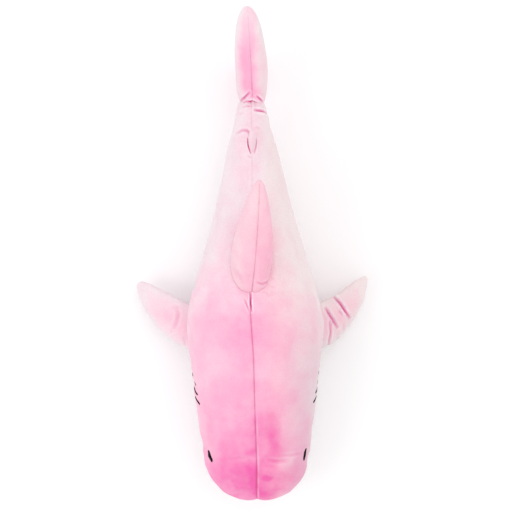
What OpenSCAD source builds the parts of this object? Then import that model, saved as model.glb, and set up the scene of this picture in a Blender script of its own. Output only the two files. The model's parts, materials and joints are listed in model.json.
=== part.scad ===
// Plush shark that lies on its belly: a stuffed body in two hinged lengths, with five stuffed fins.
// +Y runs from the nose to the tail, +X is the shark's left, and the belly rests on Z = 0.
// Places along the body are given as d, in thousandths of the whole length from the nose.

/* [Body] */
// Length from the nose to the tip of the tail fin
total_len = 1000; // [980:5:1020]
// Width of the body between the pectoral fins
body_w = 286; // [282:1:290]
// Height of the back above the table
body_h = 240; // [237:1:243]
// Thickness of the plush fabric on the body
skin = 2; // [1.5:0.1:2.5]
// Thickness of the plush fabric on the fins
fin_skin = 1.5; // [1:0.1:1.8]
// Space between the fabric and the stuffing
fill_gap = 0.3; // [0.2:0.05:0.4]

/* [Tail] */
// Radius of the bend between the body and the tail
tail_bend_r = 100; // [98:1:102]
// Radius of the bend between the tail and the tail fin
fin_bend_r = 38; // [37:0.5:39]
// Play in both bends
bend_play = 0.5; // [0.4:0.1:0.8]

/* [Fins] */
// Half the thickness of the dorsal fin near the body
dorsal_t = 40; // [36:1:42]
// Half the thickness of a pectoral fin near the body
pectoral_t = 19; // [16:1:20]
// How far the pectoral fins slope down
pectoral_slope = 14; // [10:1:16]
// Radius of the rolled seam at the root of the dorsal fin
dorsal_roll_r = 10; // [9:0.5:10]
// Radius of the rolled seam at the root of a pectoral fin
pectoral_roll_r = 8; // [7:0.5:8]
// Radius of the rolled seam at the root of the small rear fin
rear_roll_r = 4; // [3.5:0.1:4]
// Play round each rolled seam
roll_play = 0.5; // [0.4:0.1:0.8]

/* [Trim] */
// Length of each embroidered eye
eye_len = 27; // [22:1:30]
// Height of each embroidered eye
eye_high = 16; // [14:1:20]
// How many gill bars are stitched on each side
gill_count = 4; // [3:1:5]
// Width of a gill bar
gill_w = 4; // [3:0.5:5]
// How many degrees lower the left side's eye and gill bars sit, being sewn by hand
left_drop = 8; // [0:0.5:10]
// Thickness of the embroidery
thread_t = 1; // [0.6:0.1:1.4]

/* [Hidden] */
$fn = 96;

back_pink = "#f9bcd9";
belly_white = "#f6e9ee";
fin_pink = "#f5a9ce";
eye_dark = "#3a0d1e";
thread_dark = "#5b2438";
fill_white = "#fafafa";
big = 1200;

// The body's outline: place, half width, back and belly, as shares of body_w / 2 and body_h.
stations = [
    [0, 0.7, 0.63, 0.21],
    [95, 0.785, 0.77, 0.125],
    [190, 0.875, 0.9, 0.04],
    [280, 0.955, 0.98, -0.01],
    [370, 1, 1, -0.02],
    [440, 0.92, 0.975, -0.01],
    [520, 0.75, 0.91, 0.02],
    [610, 0.58, 0.825, 0.095],
    [720, 0.395, 0.74, 0.23],
    [843, 0.2, 0.68, 0.4],
    [920, 0.15, 0.65, 0.45]
];
nose_len = 95;
nose_pow = 2.4;
section_pow = 2.2;
seam_phi = 105;
back_steps = 8;
belly_steps = 10;

tail_hinge_d = 580;
fin_hinge_d = 818;
torso_end_d = 690;
tail_start_d = 578;
tail_end_d = 862;
nose_rows = [for (i = [0:7]) nose_len * (1 - cos(i * 90 / 7))];
torso_rows = concat(nose_rows, [for (i = [1:17]) nose_len + i * (torso_end_d - nose_len) / 17]);
tail_rows = [for (i = [0:11]) tail_start_d + i * (tail_end_d - tail_start_d) / 11];

back_phis = [for (j = [0:back_steps]) j * seam_phi / back_steps];
belly_phis = [for (j = [0:belly_steps]) seam_phi + j * (360 - 2 * seam_phi) / belly_steps];
ring_phis = concat(
    [for (j = [0:back_steps - 1]) back_phis[j]],
    [for (j = [0:belly_steps - 1]) belly_phis[j]],
    [for (j = [0:back_steps - 1]) 360 - back_phis[back_steps - j]]
);

// Numbers and points

function bezier(p, t) =
    len(p) == 1 ? p[0] : bezier([for (i = [0:len(p) - 2]) p[i] * (1 - t) + p[i + 1] * t], t);
function unit(v) = v / norm(v);
function at(d) = (d / 1000 - 0.5) * total_len;

function span_of(d, k = 0) =
    k >= len(stations) - 2 || d < stations[k + 1][0] ? k : span_of(d, k + 1);
function slope(k, c) =
    let (a = stations[max(k - 1, 0)], b = stations[min(k + 1, len(stations) - 1)])
    (b[c] - a[c]) / (b[0] - a[0]);
// A smooth curve through the stations
function share(d, c) =
    let (k = span_of(d), a = stations[k], b = stations[k + 1], h = b[0] - a[0], t = (d - a[0]) / h)
    (1 + 2 * t) * pow(1 - t, 2) * a[c] + t * pow(1 - t, 2) * h * slope(k, c)
    + t * t * (3 - 2 * t) * b[c] + t * t * (t - 1) * h * slope(k + 1, c);
function half_w(d) = body_w / 2 * share(d, 1);
function back_z(d) = body_h * share(d, 2);
function belly_z(d) = body_h * share(d, 3);

function nose_round(d) =
    d >= nose_len ? 1 : pow(1 - pow(1 - d / nose_len, nose_pow), 1 / nose_pow);
function full(v) = sign(v) * pow(abs(v), 2 / section_pow);
// A point of the body, phi degrees round from the back towards +X, inset below the outer surface
function body_point(d, phi, inset = 0) =
    let (
        e = nose_round(d),
        di = d >= nose_len ? d : inset + d * (nose_len - inset) / nose_len,
        w = (half_w(di) - inset) * e,
        h = ((back_z(di) - belly_z(di)) / 2 - inset) * e,
        z = (back_z(di) + belly_z(di)) / 2 + h * full(cos(phi))
    )
    [w * full(sin(phi)), at(di), inset > 0 ? max(z, inset) : z];
function body_grid(rows, phis, inset) = [for (d = rows) [for (p = phis) body_point(d, p, inset)]];
function body_axis(d) = [0, at(d), (back_z(d) + belly_z(d)) / 2];

// Solids from grids of points

function grid_id(i, j, rows, cols, ends) =
    i == 0 && ends[0] ? 0 : i == rows - 1 && ends[1] ? i * cols : i * cols + j % cols;
function cell(a, b, c, d) =
    [for (f = [[a, b, c], [a, c, d]]) if (f[0] != f[1] && f[1] != f[2] && f[2] != f[0]) f];
// The faces of a sheet; from column swap on, each cell is split along its other diagonal
function sheet_faces(rows, cols, wrap, ends, start, turned, swap) = [
    for (i = [0:rows - 2], j = [0:wrap ? cols - 1 : cols - 2])
    let (
        a = start + grid_id(i, j, rows, cols, ends),
        b = start + grid_id(i, j + 1, rows, cols, ends),
        c = start + grid_id(i + 1, j + 1, rows, cols, ends),
        d = start + grid_id(i + 1, j, rows, cols, ends)
    )
    each turned && j < swap ? cell(a, b, c, d) : turned ? cell(b, c, d, a)
        : j < swap ? cell(a, d, c, b) : cell(b, a, d, c)
];
// The strip that closes the edge between two sheets, from the ids of one edge
function strip_faces(ids, n) =
    [for (k = [0:len(ids) - 2]) each cell(ids[k + 1], ids[k], n + ids[k], n + ids[k + 1])];
function backwards(v) = [for (k = [1:len(v)]) v[len(v) - k]];

// The layer between two grids; an end row that is one point is marked in ends
module layer(outer, inner, wrap = false, ends = [false, false], swap = 1000) {
    rows = len(outer);
    cols = len(outer[0]);
    n = rows * cols;
    first_side = [for (i = [0:rows - 1]) grid_id(i, 0, rows, cols, ends)];
    last_side = [for (i = [0:rows - 1]) grid_id(i, cols - 1, rows, cols, ends)];
    first_row = [for (j = [0:wrap ? cols : cols - 1]) grid_id(0, j, rows, cols, ends)];
    last_row = [for (j = [0:wrap ? cols : cols - 1]) grid_id(rows - 1, j, rows, cols, ends)];
    polyhedron(
        points = concat([for (r = outer) each r], [for (r = inner) each r]),
        faces = concat(
            sheet_faces(rows, cols, wrap, ends, 0, false, swap),
            sheet_faces(rows, cols, wrap, ends, n, true, swap),
            wrap ? [] : strip_faces(first_side, n),
            wrap ? [] : strip_faces(backwards(last_side), n),
            ends[0] ? [] : strip_faces(backwards(first_row), n),
            ends[1] ? [] : strip_faces(last_row, n)
        )
    );
}

// A closed solid from rings of points, with a single point at each end
module filled(rings, first, last, swap) {
    cols = len(rings[0]);
    grid = concat([[for (j = [1:cols]) first]], rings, [[for (j = [1:cols]) last]]);
    polyhedron(
        points = [for (r = grid) each r],
        faces = sheet_faces(len(grid), cols, true, [true, true], 0, false, swap)
    );
}

// Cuts

// Everything behind the body's rounded end; the tail starts the same cut a little further out
module behind_bend(d, r) {
    difference() {
        translate([-big / 2, at(d), -big / 2]) cube(big);
        translate([0, at(d), -big / 2]) cylinder(r = r, h = big);
    }
}
module before_bend(d, r) {
    translate([-big / 2, at(d) - big, -big / 2]) cube(big);
    translate([0, at(d), -big / 2]) cylinder(r = r, h = big);
}
module below_table() {
    translate([-big / 2, -big / 2, -big]) cube(big);
}
// A round bar from a to b, both in a plane that holds Y and Z
module bar(a, b, r) {
    v = b - a;
    translate(a) rotate([atan2(v[2], v[1]) - 90, 0, 0]) cylinder(r = r, h = norm(v));
}

// Fins

// A fin is [centre line, half chord, half thickness, chord direction, thickness direction,
//           tip power, share of the span that flares out of the seam, both ends are tips]
root_half_t = 2;
fill_most = root_half_t - 0.1;
function fin_rounding(fin, s) =
    fin[7] ? sqrt(1 - pow(abs(2 * s - 1), fin[5])) : sqrt(1 - pow(s, fin[5]));
function fin_thickness(fin, s) =
    s >= fin[6]
        ? bezier(fin[2], s)
        : root_half_t + (bezier(fin[2], fin[6]) - root_half_t) * s / fin[6];
function fin_point(fin, s, a, inset) =
    let (
        length = norm(fin[0][len(fin[0]) - 1] - fin[0][0]),
        si = fin[7] ? s + (0.5 - s) * 2 * inset / length : s * (1 - inset / length),
        e = fin_rounding(fin, s)
    )
    bezier(fin[0], si) - fin[3] * (bezier(fin[1], si) - inset) * e * cos(a)
    + fin[4] * (fin_thickness(fin, s) - min(inset, fill_most)) * e * sin(a);
function fin_grid(fin, spans, angles, inset) =
    [for (s = spans) [for (a = angles) fin_point(fin, s, a, inset)]];

fin_spans = [0, 0.14, 0.28, 0.44, 0.6, 0.75, 0.87, 0.95, 0.99, 1];
small_spans = [0, 0.24, 0.5, 0.75, 0.92, 0.98, 1];
lobe_spans = [for (i = [0:16]) (1 - cos(i * 180 / 16)) / 2];
half_round = 8;
side_angles = [for (j = [0:half_round]) j * 180 / half_round];
round_angles = [for (j = [0:2 * half_round - 1]) j * 180 / half_round];

dorsal_front = [0, at(443), back_z(443) + 2];
dorsal_rear = [0, at(580), back_z(580) + 2];
dorsal = [
    [(dorsal_front + dorsal_rear) / 2, [0, 55, 298], [0, 160, 345]],
    [norm(dorsal_rear - dorsal_front) / 2, 48, 28],
    [dorsal_t, dorsal_t * 0.95, dorsal_t * 0.65],
    unit(dorsal_rear - dorsal_front), [1, 0, 0], 3, 0.14, false
];

rear_front = [0, at(728), back_z(728) + 0.5];
rear_rear = [0, at(762), back_z(762) + 0.5];
rear = [
    [(rear_front + rear_rear) / 2, [0, 254, 191], [0, 273, 202]],
    [norm(rear_rear - rear_front) / 2, 14, 9],
    [7, 6.5, 5],
    unit(rear_rear - rear_front), [1, 0, 0], 3, 0.24, false
];

tail_fin = [
    [[0, 432, 30], [0, 350, 78], [0, 345, 172], [0, 497, 302]],
    [30, 60, 60, 30],
    [20, 35, 37, 26],
    [0, 1, 0], [1, 0, 0], 3, 0, true
];

pectoral_x = 135;
pectoral_z = 74;
pectoral_mid_y = -136;
pectoral_root = 102;
function pectoral_at(x, y) = [x, y, pectoral_z - (x - pectoral_x) * tan(pectoral_slope)];
pectoral = [
    [pectoral_at(pectoral_x, pectoral_mid_y), pectoral_at(200, -112), pectoral_at(252, -52)],
    [pectoral_root / 2, 50, 42],
    [pectoral_t, pectoral_t * 0.9, pectoral_t * 0.6],
    [0, 1, 0], [-sin(pectoral_slope), 0, -cos(pectoral_slope)], 3.5, 0.2, false
];
pectoral_front = pectoral_at(pectoral_x, pectoral_mid_y - pectoral_root / 2);
pectoral_rear = pectoral_at(pectoral_x, pectoral_mid_y + pectoral_root / 2);

module fin_panel(fin, spans, angles) {
    layer(
        fin_grid(fin, spans, angles, 0),
        fin_grid(fin, spans, angles, fin_skin),
        ends = [fin[7], true]
    );
}
module fin_fill(fin, spans, swap) {
    inset = fin_skin + fill_gap;
    last = len(spans) - 1;
    rings = [for (k = [fin[7] ? 1 : 0:last - 1]) fin_grid(fin, [spans[k]], round_angles, inset)[0]];
    first = fin[7] ? fin_point(fin, 0, 0, inset) : bezier(fin[0], 0);
    filled(rings, first, fin_point(fin, 1, 0, inset), swap);
}

// The body

module torso_grooves() {
    v = unit(dorsal_rear - dorsal_front) * roll_play;
    bar(dorsal_front - v, dorsal_rear + v, dorsal_roll_r + roll_play);
    pectoral_groove();
    mirrored() pectoral_groove();
}
module pectoral_groove() {
    v = [0, roll_play, 0];
    bar(pectoral_front - v, pectoral_rear + v, pectoral_roll_r + roll_play);
}
module mirrored() {
    mirror([1, 0, 0]) children();
}
module torso_cut() {
    difference() {
        children();
        behind_bend(tail_hinge_d, tail_bend_r);
        torso_grooves();
    }
}
module back_panel() {
    torso_cut()
        layer(
            body_grid(torso_rows, back_phis, 0),
            body_grid(torso_rows, back_phis, skin),
            ends = [true, false]
        );
}
module back_panel_left() {
    color(back_pink) back_panel();
}
module back_panel_right() {
    color(back_pink) mirrored() back_panel();
}
module belly_panel() {
    color(belly_white)
        difference() {
            layer(
                body_grid(torso_rows, belly_phis, 0),
                body_grid(torso_rows, belly_phis, skin),
                ends = [true, false],
                swap = belly_steps / 2
            );
            behind_bend(tail_hinge_d, tail_bend_r);
            torso_grooves();
            below_table();
        }
}
module body_stuffing() {
    inset = skin + fill_gap;
    color(fill_white)
        torso_cut()
            filled(
                [for (k = [1:len(torso_rows) - 1]) body_grid([torso_rows[k]], ring_phis, inset)[0]],
                body_point(0, 0, inset),
                body_axis(torso_end_d),
                len(ring_phis) / 2
            );
}

// The tail

module tail_groove() {
    v = unit(rear_rear - rear_front) * roll_play;
    bar(rear_front - v, rear_rear + v, rear_roll_r + roll_play);
}
module tail_cut() {
    difference() {
        children();
        before_bend(tail_hinge_d, tail_bend_r + bend_play);
        behind_bend(fin_hinge_d, fin_bend_r);
        tail_groove();
    }
}
module tail_panel(phis, swap) {
    tail_cut()
        layer(body_grid(tail_rows, phis, 0), body_grid(tail_rows, phis, skin), swap = swap);
}
module tail_back_panel_left() {
    color(back_pink) tail_panel(back_phis, back_steps);
}
module tail_back_panel_right() {
    color(back_pink) mirrored() tail_panel(back_phis, back_steps);
}
module tail_belly_panel() {
    color(belly_white) tail_panel(belly_phis, belly_steps / 2);
}
module tail_stuffing() {
    color(fill_white)
        tail_cut()
            filled(
                body_grid(tail_rows, ring_phis, skin + fill_gap),
                body_axis(tail_start_d),
                body_axis(tail_end_d),
                len(ring_phis) / 2
            );
}

// The socket in the tail fin that the rounded end of the tail turns in
socket_low = 82;
socket_h = 90;
module tail_fin_cut() {
    difference() {
        children();
        translate([0, at(fin_hinge_d), socket_low])
            cylinder(r = fin_bend_r + bend_play, h = socket_h);
    }
}
module tail_fin_panel() {
    tail_fin_cut() fin_panel(tail_fin, lobe_spans, side_angles);
}
module tail_fin_panel_left() {
    color(fin_pink) tail_fin_panel();
}
module tail_fin_panel_right() {
    color(fin_pink) mirrored() tail_fin_panel();
}
module tail_fin_stuffing() {
    color(fill_white) tail_fin_cut() fin_fill(tail_fin, lobe_spans, half_round);
}

// The dorsal fin and the small rear fin

module dorsal_panel() {
    difference() {
        fin_panel(dorsal, fin_spans, side_angles);
        bar(dorsal_front * 2 - dorsal_rear, dorsal_rear * 2 - dorsal_front, dorsal_roll_r);
    }
}
module dorsal_panel_left() {
    color(fin_pink) dorsal_panel();
}
module dorsal_panel_right() {
    color(fin_pink) mirrored() dorsal_panel();
}
module dorsal_stuffing() {
    color(fill_white)
        difference() {
            fin_fill(dorsal, fin_spans, half_round);
            bar(dorsal_front * 2 - dorsal_rear, dorsal_rear * 2 - dorsal_front, dorsal_roll_r);
        }
}
module dorsal_root_seam() {
    color(fin_pink) bar(dorsal_front, dorsal_rear, dorsal_roll_r);
}

module rear_fin_panel() {
    difference() {
        fin_panel(rear, small_spans, side_angles);
        bar(rear_front * 2 - rear_rear, rear_rear * 2 - rear_front, rear_roll_r);
    }
}
module rear_fin_panel_left() {
    color(fin_pink) rear_fin_panel();
}
module rear_fin_panel_right() {
    color(fin_pink) mirrored() rear_fin_panel();
}
module rear_fin_stuffing() {
    color(fill_white)
        difference() {
            fin_fill(rear, small_spans, half_round);
            bar(rear_front * 2 - rear_rear, rear_rear * 2 - rear_front, rear_roll_r);
        }
}
module rear_fin_root_seam() {
    color(fin_pink) bar(rear_front, rear_rear, rear_roll_r);
}

// The pectoral fins

module pectoral_cut() {
    difference() {
        children();
        bar(pectoral_front * 2 - pectoral_rear, pectoral_rear * 2 - pectoral_front, pectoral_roll_r);
    }
}
module pectoral_upper() {
    color(fin_pink) pectoral_cut() fin_panel(pectoral, fin_spans, [for (a = side_angles) a + 180]);
}
module pectoral_lower() {
    color(belly_white) pectoral_cut() fin_panel(pectoral, fin_spans, side_angles);
}
module pectoral_fill() {
    color(fill_white) pectoral_cut() fin_fill(pectoral, fin_spans, 2 * half_round);
}
module pectoral_roll() {
    color(fin_pink) bar(pectoral_front, pectoral_rear, pectoral_roll_r);
}
module pectoral_left_upper_panel() {
    pectoral_upper();
}
module pectoral_left_lower_panel() {
    pectoral_lower();
}
module pectoral_left_stuffing() {
    pectoral_fill();
}
module pectoral_left_root_seam() {
    pectoral_roll();
}
module pectoral_right_upper_panel() {
    mirrored() pectoral_upper();
}
module pectoral_right_lower_panel() {
    mirrored() pectoral_lower();
}
module pectoral_right_stuffing() {
    mirrored() pectoral_fill();
}
module pectoral_right_root_seam() {
    mirrored() pectoral_roll();
}

// Embroidery

trim_lift = 0.2;
edge_share = 0.6;
eye_d = 101;
eye_phi = 60.5;
eye_tilt = 8;
eye_rings = 4;
eye_spokes = 24;
// Degrees of phi that cover one millimetre of the side of the body
function per_mm(d) = 180 / PI / (half_w(d) * 0.95);

// An oval on the side of the head, domed when the rim is lower than the middle
function eye_grid(middle_lift, rim_lift, drop) = [
    for (k = [0:eye_rings])
    [
        for (j = [0:eye_spokes - 1])
        let (
            r = k / eye_rings,
            u = r * eye_len / 2 * cos(j * 360 / eye_spokes),
            v = r * eye_high / 2 * sin(j * 360 / eye_spokes)
        )
        body_point(
            eye_d + u * cos(eye_tilt) - v * sin(eye_tilt),
            eye_phi + drop + (u * sin(eye_tilt) + v * cos(eye_tilt)) * per_mm(eye_d),
            -middle_lift - (rim_lift - middle_lift) * r * r
        )
    ]
];
module eye(drop) {
    top = trim_lift + thread_t;
    layer(
        eye_grid(top, trim_lift + thread_t * edge_share, drop),
        eye_grid(trim_lift, trim_lift, drop),
        wrap = true,
        ends = [true, false]
    );
}
module eye_left() {
    color(eye_dark) eye(left_drop);
}
module eye_right() {
    color(eye_dark) mirrored() eye(0);
}

// A stitched bar along a route of [d, phi], w wide along the body, with its own lift at the edges
function bar_grid(route, w, middle_lift, edge_lift) = [
    for (k = [-1, 0, 1])
    [for (p = route) body_point(p[0] + k * w / 2, p[1], k == 0 ? -middle_lift : -edge_lift)]
];
module stitched(route, w) {
    layer(
        bar_grid(route, w, trim_lift + thread_t, trim_lift + thread_t * edge_share),
        bar_grid(route, w, trim_lift, trim_lift)
    );
}

gill_first_d = 222;
gill_pitch = 19.5;
gill_top_phi = 67;
gill_low_phi = 86;
gill_step_phi = 3.4;
gill_lean = 11;
gill_steps = 6;
module gill_bars(drop) {
    for (g = [0:gill_count - 1])
        stitched([
            for (k = [0:gill_steps])
            let (f = k / gill_steps)
            [
                gill_first_d + g * gill_pitch - gill_lean * (1 - f),
                gill_top_phi + drop + g * gill_step_phi + (gill_low_phi - gill_top_phi) * f
            ]
        ], gill_w);
}
module gill_bars_left() {
    color(thread_dark) gill_bars(left_drop);
}
module gill_bars_right() {
    color(thread_dark) mirrored() gill_bars(0);
}

// The smile under the snout: its corners lie behind its middle
mouth_front_d = 88;
mouth_deep = 42;
mouth_half_phi = 58;
mouth_w = 3;
module mouth_line() {
    color(thread_dark)
        stitched([
            for (f = [1:-0.1:-1])
            [mouth_front_d + mouth_deep * f * f, 180 - mouth_half_phi * f]
        ], mouth_w);
}

// The hand-sewn opening in the side seam where the stuffing goes in
closing_count = 12;
closing_first_d = 470;
closing_pitch = 9;
closing_lean = 1.5;
closing_reach = 1.6;
closing_w = 1.2;
module closing_stitches() {
    color(thread_dark)
        for (k = [0:closing_count - 1])
            stitched([
                for (f = [-1:1])
                [
                    closing_first_d + k * closing_pitch + (f + 1) * closing_lean,
                    seam_phi + f * closing_reach
                ]
            ], closing_w);
}

back_panel_left();
back_panel_right();
belly_panel();
body_stuffing();
eye_left();
eye_right();
gill_bars_left();
gill_bars_right();
mouth_line();
closing_stitches();
tail_back_panel_left();
tail_back_panel_right();
tail_belly_panel();
tail_stuffing();
tail_fin_panel_left();
tail_fin_panel_right();
tail_fin_stuffing();
dorsal_panel_left();
dorsal_panel_right();
dorsal_stuffing();
dorsal_root_seam();
rear_fin_panel_left();
rear_fin_panel_right();
rear_fin_stuffing();
rear_fin_root_seam();
pectoral_left_upper_panel();
pectoral_left_lower_panel();
pectoral_left_stuffing();
pectoral_left_root_seam();
pectoral_right_upper_panel();
pectoral_right_lower_panel();
pectoral_right_stuffing();
pectoral_right_root_seam();
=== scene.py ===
import json
import math

import bpy
import numpy as np
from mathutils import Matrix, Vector

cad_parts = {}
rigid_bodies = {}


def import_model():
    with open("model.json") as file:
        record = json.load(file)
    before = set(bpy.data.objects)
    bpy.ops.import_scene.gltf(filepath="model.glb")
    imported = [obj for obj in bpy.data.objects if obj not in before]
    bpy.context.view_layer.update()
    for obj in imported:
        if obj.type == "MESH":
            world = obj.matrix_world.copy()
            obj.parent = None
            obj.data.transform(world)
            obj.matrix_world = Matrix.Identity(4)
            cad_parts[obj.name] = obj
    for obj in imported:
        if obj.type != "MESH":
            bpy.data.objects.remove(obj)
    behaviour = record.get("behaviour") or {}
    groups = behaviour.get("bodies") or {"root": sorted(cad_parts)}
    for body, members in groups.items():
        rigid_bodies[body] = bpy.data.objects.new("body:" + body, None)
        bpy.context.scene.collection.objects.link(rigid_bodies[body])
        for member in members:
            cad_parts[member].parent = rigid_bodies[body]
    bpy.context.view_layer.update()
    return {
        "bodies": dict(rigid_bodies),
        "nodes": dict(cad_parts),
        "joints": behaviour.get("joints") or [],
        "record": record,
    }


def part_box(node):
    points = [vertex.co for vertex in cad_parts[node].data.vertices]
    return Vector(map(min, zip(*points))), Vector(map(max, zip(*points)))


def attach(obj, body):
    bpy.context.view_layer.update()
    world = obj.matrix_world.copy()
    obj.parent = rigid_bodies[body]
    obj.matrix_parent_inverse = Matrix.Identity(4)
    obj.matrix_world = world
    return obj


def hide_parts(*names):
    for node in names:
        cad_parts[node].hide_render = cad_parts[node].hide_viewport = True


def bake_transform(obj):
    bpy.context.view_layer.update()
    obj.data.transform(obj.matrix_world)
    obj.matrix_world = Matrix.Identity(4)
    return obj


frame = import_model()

# The shark lies along +Y with its nose at -Y, +X is its left, and it rests on z = 0. Lengths are in metres.
joints = {j["name"]: j for j in frame["joints"]}
low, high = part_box("back_panel_left")
noseY = low.y
backTop = high.z
wholeLength = 2 * abs(noseY)
bodyWidth = 2 * high.x


# numbers and points
def bezier(points, t):
    # a curve through the first and last of the points, at every t
    points = np.array(points, float)
    t = np.asarray(t, float).reshape(-1, *[1] * (points.ndim - 1))
    while len(points) > 1:
        points = [p * (1 - t) + q * t for p, q in zip(points, points[1:])]
    return points[0]


def smooth(low, high, value):
    t = np.clip((np.asarray(value, float) - low) / (high - low), 0, 1)
    return t * t * (3 - 2 * t)


def bell(distance, width):
    return np.exp(-((distance / width) ** 2))


def denseEnds(count, share):
    # from 0 to 1, with steps that get shorter at both ends
    t = np.linspace(0, 1, count + 1)
    return t - share * np.sin(2 * math.pi * t) / (2 * math.pi)


def unit(v):
    v = np.asarray(v, float)
    return v / np.maximum(np.linalg.norm(v, axis=-1, keepdims=True), 1e-12)


def lumps(places, size, seed):
    # smooth noise from -1 to 1, with lumps about size across
    q = places / size + 100
    cell = np.floor(q).astype(np.int64)
    f = q - cell
    f = f * f * (3 - 2 * f)
    total = 0
    for corner in np.ndindex(2, 2, 2):
        c = cell + corner
        mixed = (c[..., 0] * 73856093) ^ (c[..., 1] * 19349663) ^ (c[..., 2] * 83492791) ^ (seed * 7919)
        mixed = (mixed ^ (mixed >> 13)) * 1274126177 & 0x7FFFFFFF
        weight = 1
        for axis in range(3):
            weight = weight * (f[..., axis] if corner[axis] else 1 - f[..., axis])
        total = total + ((mixed % 20011) / 10005.5 - 1) * weight
    return total


def lineDistance(flat, way):
    # how far each point lies from a line, and where along the line from 0 to 1
    fine = np.linspace(0, len(way) - 1, 20)
    points = np.array(way, float)
    way = np.stack([np.interp(fine, np.arange(len(points)), column) for column in points.T], -1)
    near = np.full(flat.shape[:-1], 9.0)
    where = np.zeros(flat.shape[:-1])
    for k in range(len(way) - 1):
        a, b = way[k], way[k + 1]
        t = np.clip(((flat - a) @ (b - a)) / ((b - a) @ (b - a)), 0, 1)
        gap = np.linalg.norm(flat - a - t[..., None] * (b - a), axis=-1)
        where = np.where(gap < near, (k + t) / (len(way) - 1), where)
        near = np.minimum(near, gap)
    return near, where


def creases(p, n, folds):
    # folds in the fabric as seen from above: (line, width, depth, how strong the painted fold shade and lip
    # highlight are)
    shift = np.zeros(p.shape[:-1])
    dark = np.zeros(p.shape[:-1])
    light = np.zeros(p.shape[:-1])
    seen = smooth(0.0, 0.3, n[..., 2])
    for way, width, depth, deepens in folds:
        near, where = lineDistance(p[..., :2], way)
        taper = seen * np.sin(math.pi * np.clip(where * 0.9 + 0.05, 0, 1)) ** 0.5
        lip = bell(near - 2.2 * width, width)
        shift += taper * depth * (0.5 * lip - bell(near, width))
        # painted shade in the fold, partly the deeper pink of parted pile, and a painted highlight on its
        # lip
        dark = np.maximum(dark, taper * bell(near, width) * deepens)
        light = np.maximum(light, taper * lip * deepens * 0.7)
    return shift, dark, light


# the body's shape
bodyShape = {
    # place from the nose, half width, back, belly: shares of the length, half width and height
    "stations": [
        (0, 0.7, 0.63, 0.21),
        (0.095, 0.785, 0.77, 0.125),
        (0.19, 0.875, 0.9, 0.04),
        (0.28, 0.955, 0.98, -0.01),
        (0.37, 1, 1, -0.02),
        (0.44, 0.92, 0.975, -0.01),
        (0.52, 0.75, 0.91, 0.02),
        (0.61, 0.58, 0.825, 0.095),
        (0.72, 0.395, 0.74, 0.23),
        (0.843, 0.2, 0.68, 0.4),
        (0.92, 0.15, 0.65, 0.45),
    ],
    "noseLength": 0.095,
    "nosePower": 2.4,
    "sectionPower": 2.2,
    "seamAngle": 105,
    "end": 0.853,
    "settle": 0.004,  # how softly the belly meets the table
    # how far the middle of the body lies to the side, and how many degrees the back seam wanders
    "swayAt": [-0.5, -0.40, 0.05, 0.20, 0.33, 0.42, 0.50],
    "sway": [0.0022, 0.0008, 0.0000, -0.0020, -0.0034, -0.0048, -0.0100],
    "seamAt": [-0.5, -0.42, -0.30, -0.18, -0.05, 0.10, 0.25],
    "seamTurn": [-1.0, 0.2, -0.6, -1.0, -3.8, -1.8, 0.0],
    # the flanks swell round the roots of the side fins: right of the shark, then left
    "rootSwell": (0.003, 0.008),
}
stations = np.array(bodyShape["stations"])
slopes = np.zeros((len(stations), 3))
for k in range(len(stations)):
    before, after = stations[max(k - 1, 0)], stations[min(k + 1, len(stations) - 1)]
    slopes[k] = (after[1:] - before[1:]) / (after[0] - before[0])


def outline(d):
    # half width, back and belly at the place d
    d = np.asarray(d, float)
    k = np.clip(np.searchsorted(stations[:, 0], d, "right") - 1, 0, len(stations) - 2)
    a, b = stations[k], stations[k + 1]
    h = (b[..., 0] - a[..., 0])[..., None]
    t = (d - a[..., 0])[..., None] / h
    value = (
        (1 + 2 * t) * (1 - t) ** 2 * a[..., 1:]
        + t * (1 - t) ** 2 * h * slopes[k]
        + t * t * (3 - 2 * t) * b[..., 1:]
        + t * t * (t - 1) * h * slopes[k + 1]
    )
    return value[..., 0] * bodyWidth / 2, value[..., 1] * backTop, value[..., 2] * backTop


def ease(y, at, values):
    # a smooth curve through values
    fine = np.linspace(at[0], at[-1], 400)
    line = np.interp(fine, at, values)
    kernel = np.hanning(61)
    line = np.convolve(np.pad(line, 30, "edge"), kernel / kernel.sum(), "valid")
    return np.interp(y, fine, line)


def bodyPoints(d, phi):
    # phi is in degrees from the back's middle towards +X
    d, phi = np.broadcast_arrays(np.asarray(d, float), np.asarray(phi, float))
    y = noseY + d * wholeLength
    width, back, belly = outline(d)
    power = bodyShape["nosePower"]
    e = (1 - np.clip(1 - d / bodyShape["noseLength"], 0, 1) ** power) ** (1 / power)
    e = e * (1 - 0.45 * smooth(0.336, 0.352, y))
    turn = ease(y, bodyShape["seamAt"], bodyShape["seamTurn"])
    angle = np.radians(phi + turn * np.cos(np.radians(phi) / 2) ** 6)
    power = 2 / bodyShape["sectionPower"]
    side = np.sign(np.sin(angle)) * np.abs(np.sin(angle)) ** power
    up = np.sign(np.cos(angle)) * np.abs(np.cos(angle)) ** power
    z = (back + belly) / 2 + (back - belly) / 2 * e * up
    soft = bodyShape["settle"]
    z = np.where(z < soft, soft * np.exp(np.minimum(z / soft - 1, 0)), z)
    x = width * e * side * (1 - 0.012 * smooth(0.0, -0.16, y))
    swell = np.where(x > 0, bodyShape["rootSwell"][1], -bodyShape["rootSwell"][0])
    x = x + swell * bell(y + 0.135, 0.042) * bell(z - 0.085, 0.035) * np.abs(side) ** 3
    return np.stack([x + ease(y, bodyShape["swayAt"], bodyShape["sway"]), y, z], -1)


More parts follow.
